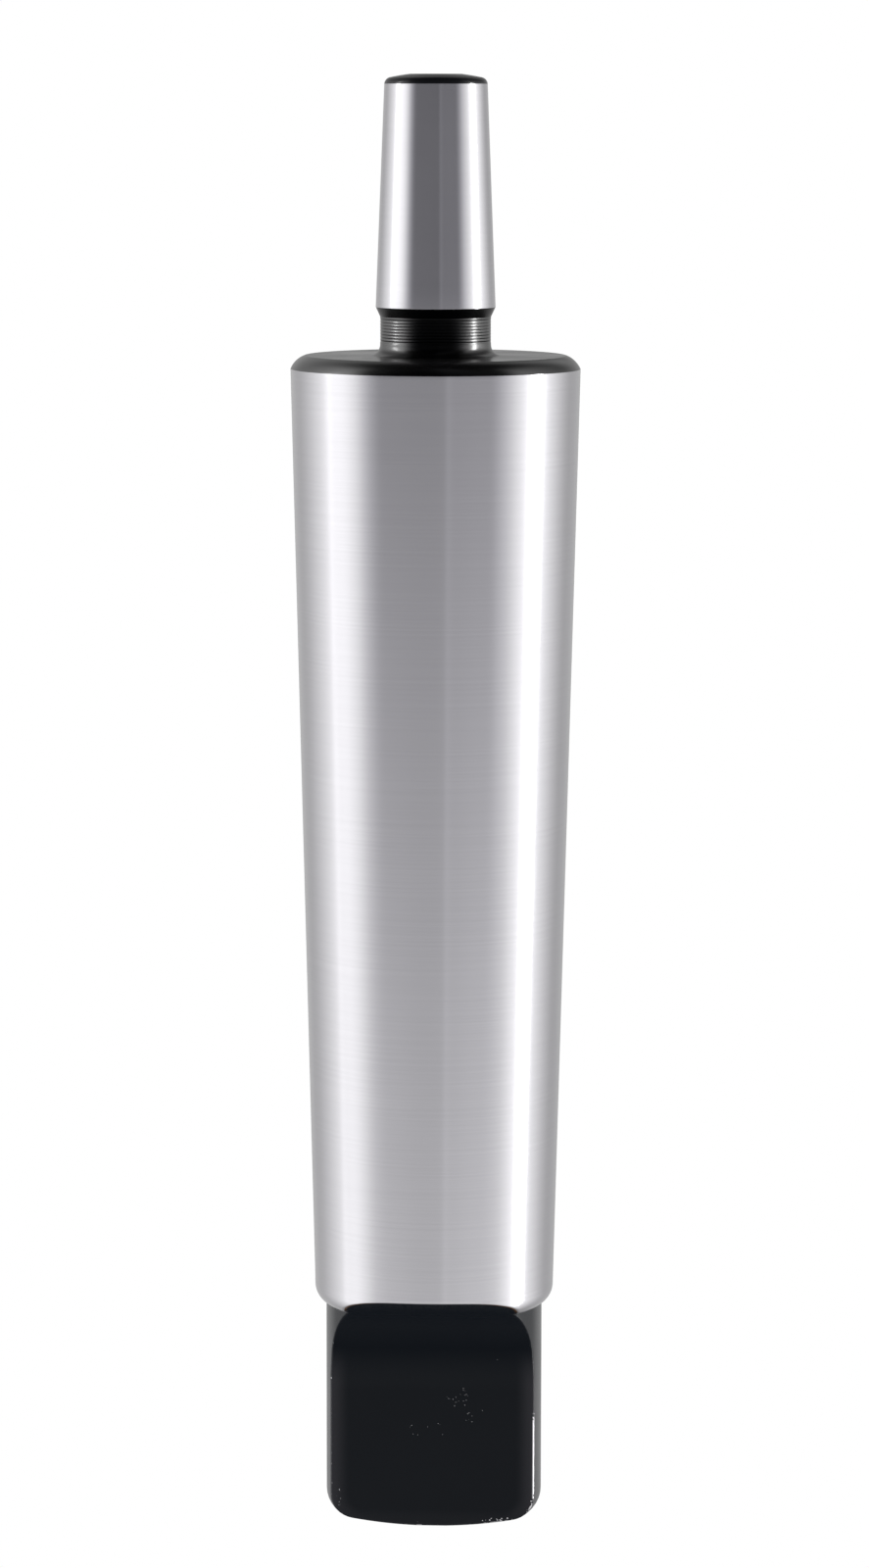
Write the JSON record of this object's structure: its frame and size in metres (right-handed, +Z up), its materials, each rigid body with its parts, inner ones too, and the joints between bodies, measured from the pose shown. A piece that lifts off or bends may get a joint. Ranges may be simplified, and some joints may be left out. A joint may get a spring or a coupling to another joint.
{
  "type": "drill chuck arbor",
  "caption": "Solid drill chuck arbor: a self-holding taper shank with a flatted tang, a shoulder, a short neck and a small taper nose that a drill chuck is pressed on.",
  "frame": {"origin": "middle of the tang's faced end, on the arbor's axis", "axes": "+Z up the axis from the tang to the nose, and the tang's flats face +Y and -Y"},
  "size_m": [0.024, 0.024, 0.1222],
  "materials": {
    "ground_steel": "hardened steel: the two tapers ground bright with fine marks around the axis, and the nose's end, neck, shoulder and tang left in glossy black oxide"
  },
  "bodies": {
    "root": {"arbor": "ground_steel"}
  },
  "joints": []
}
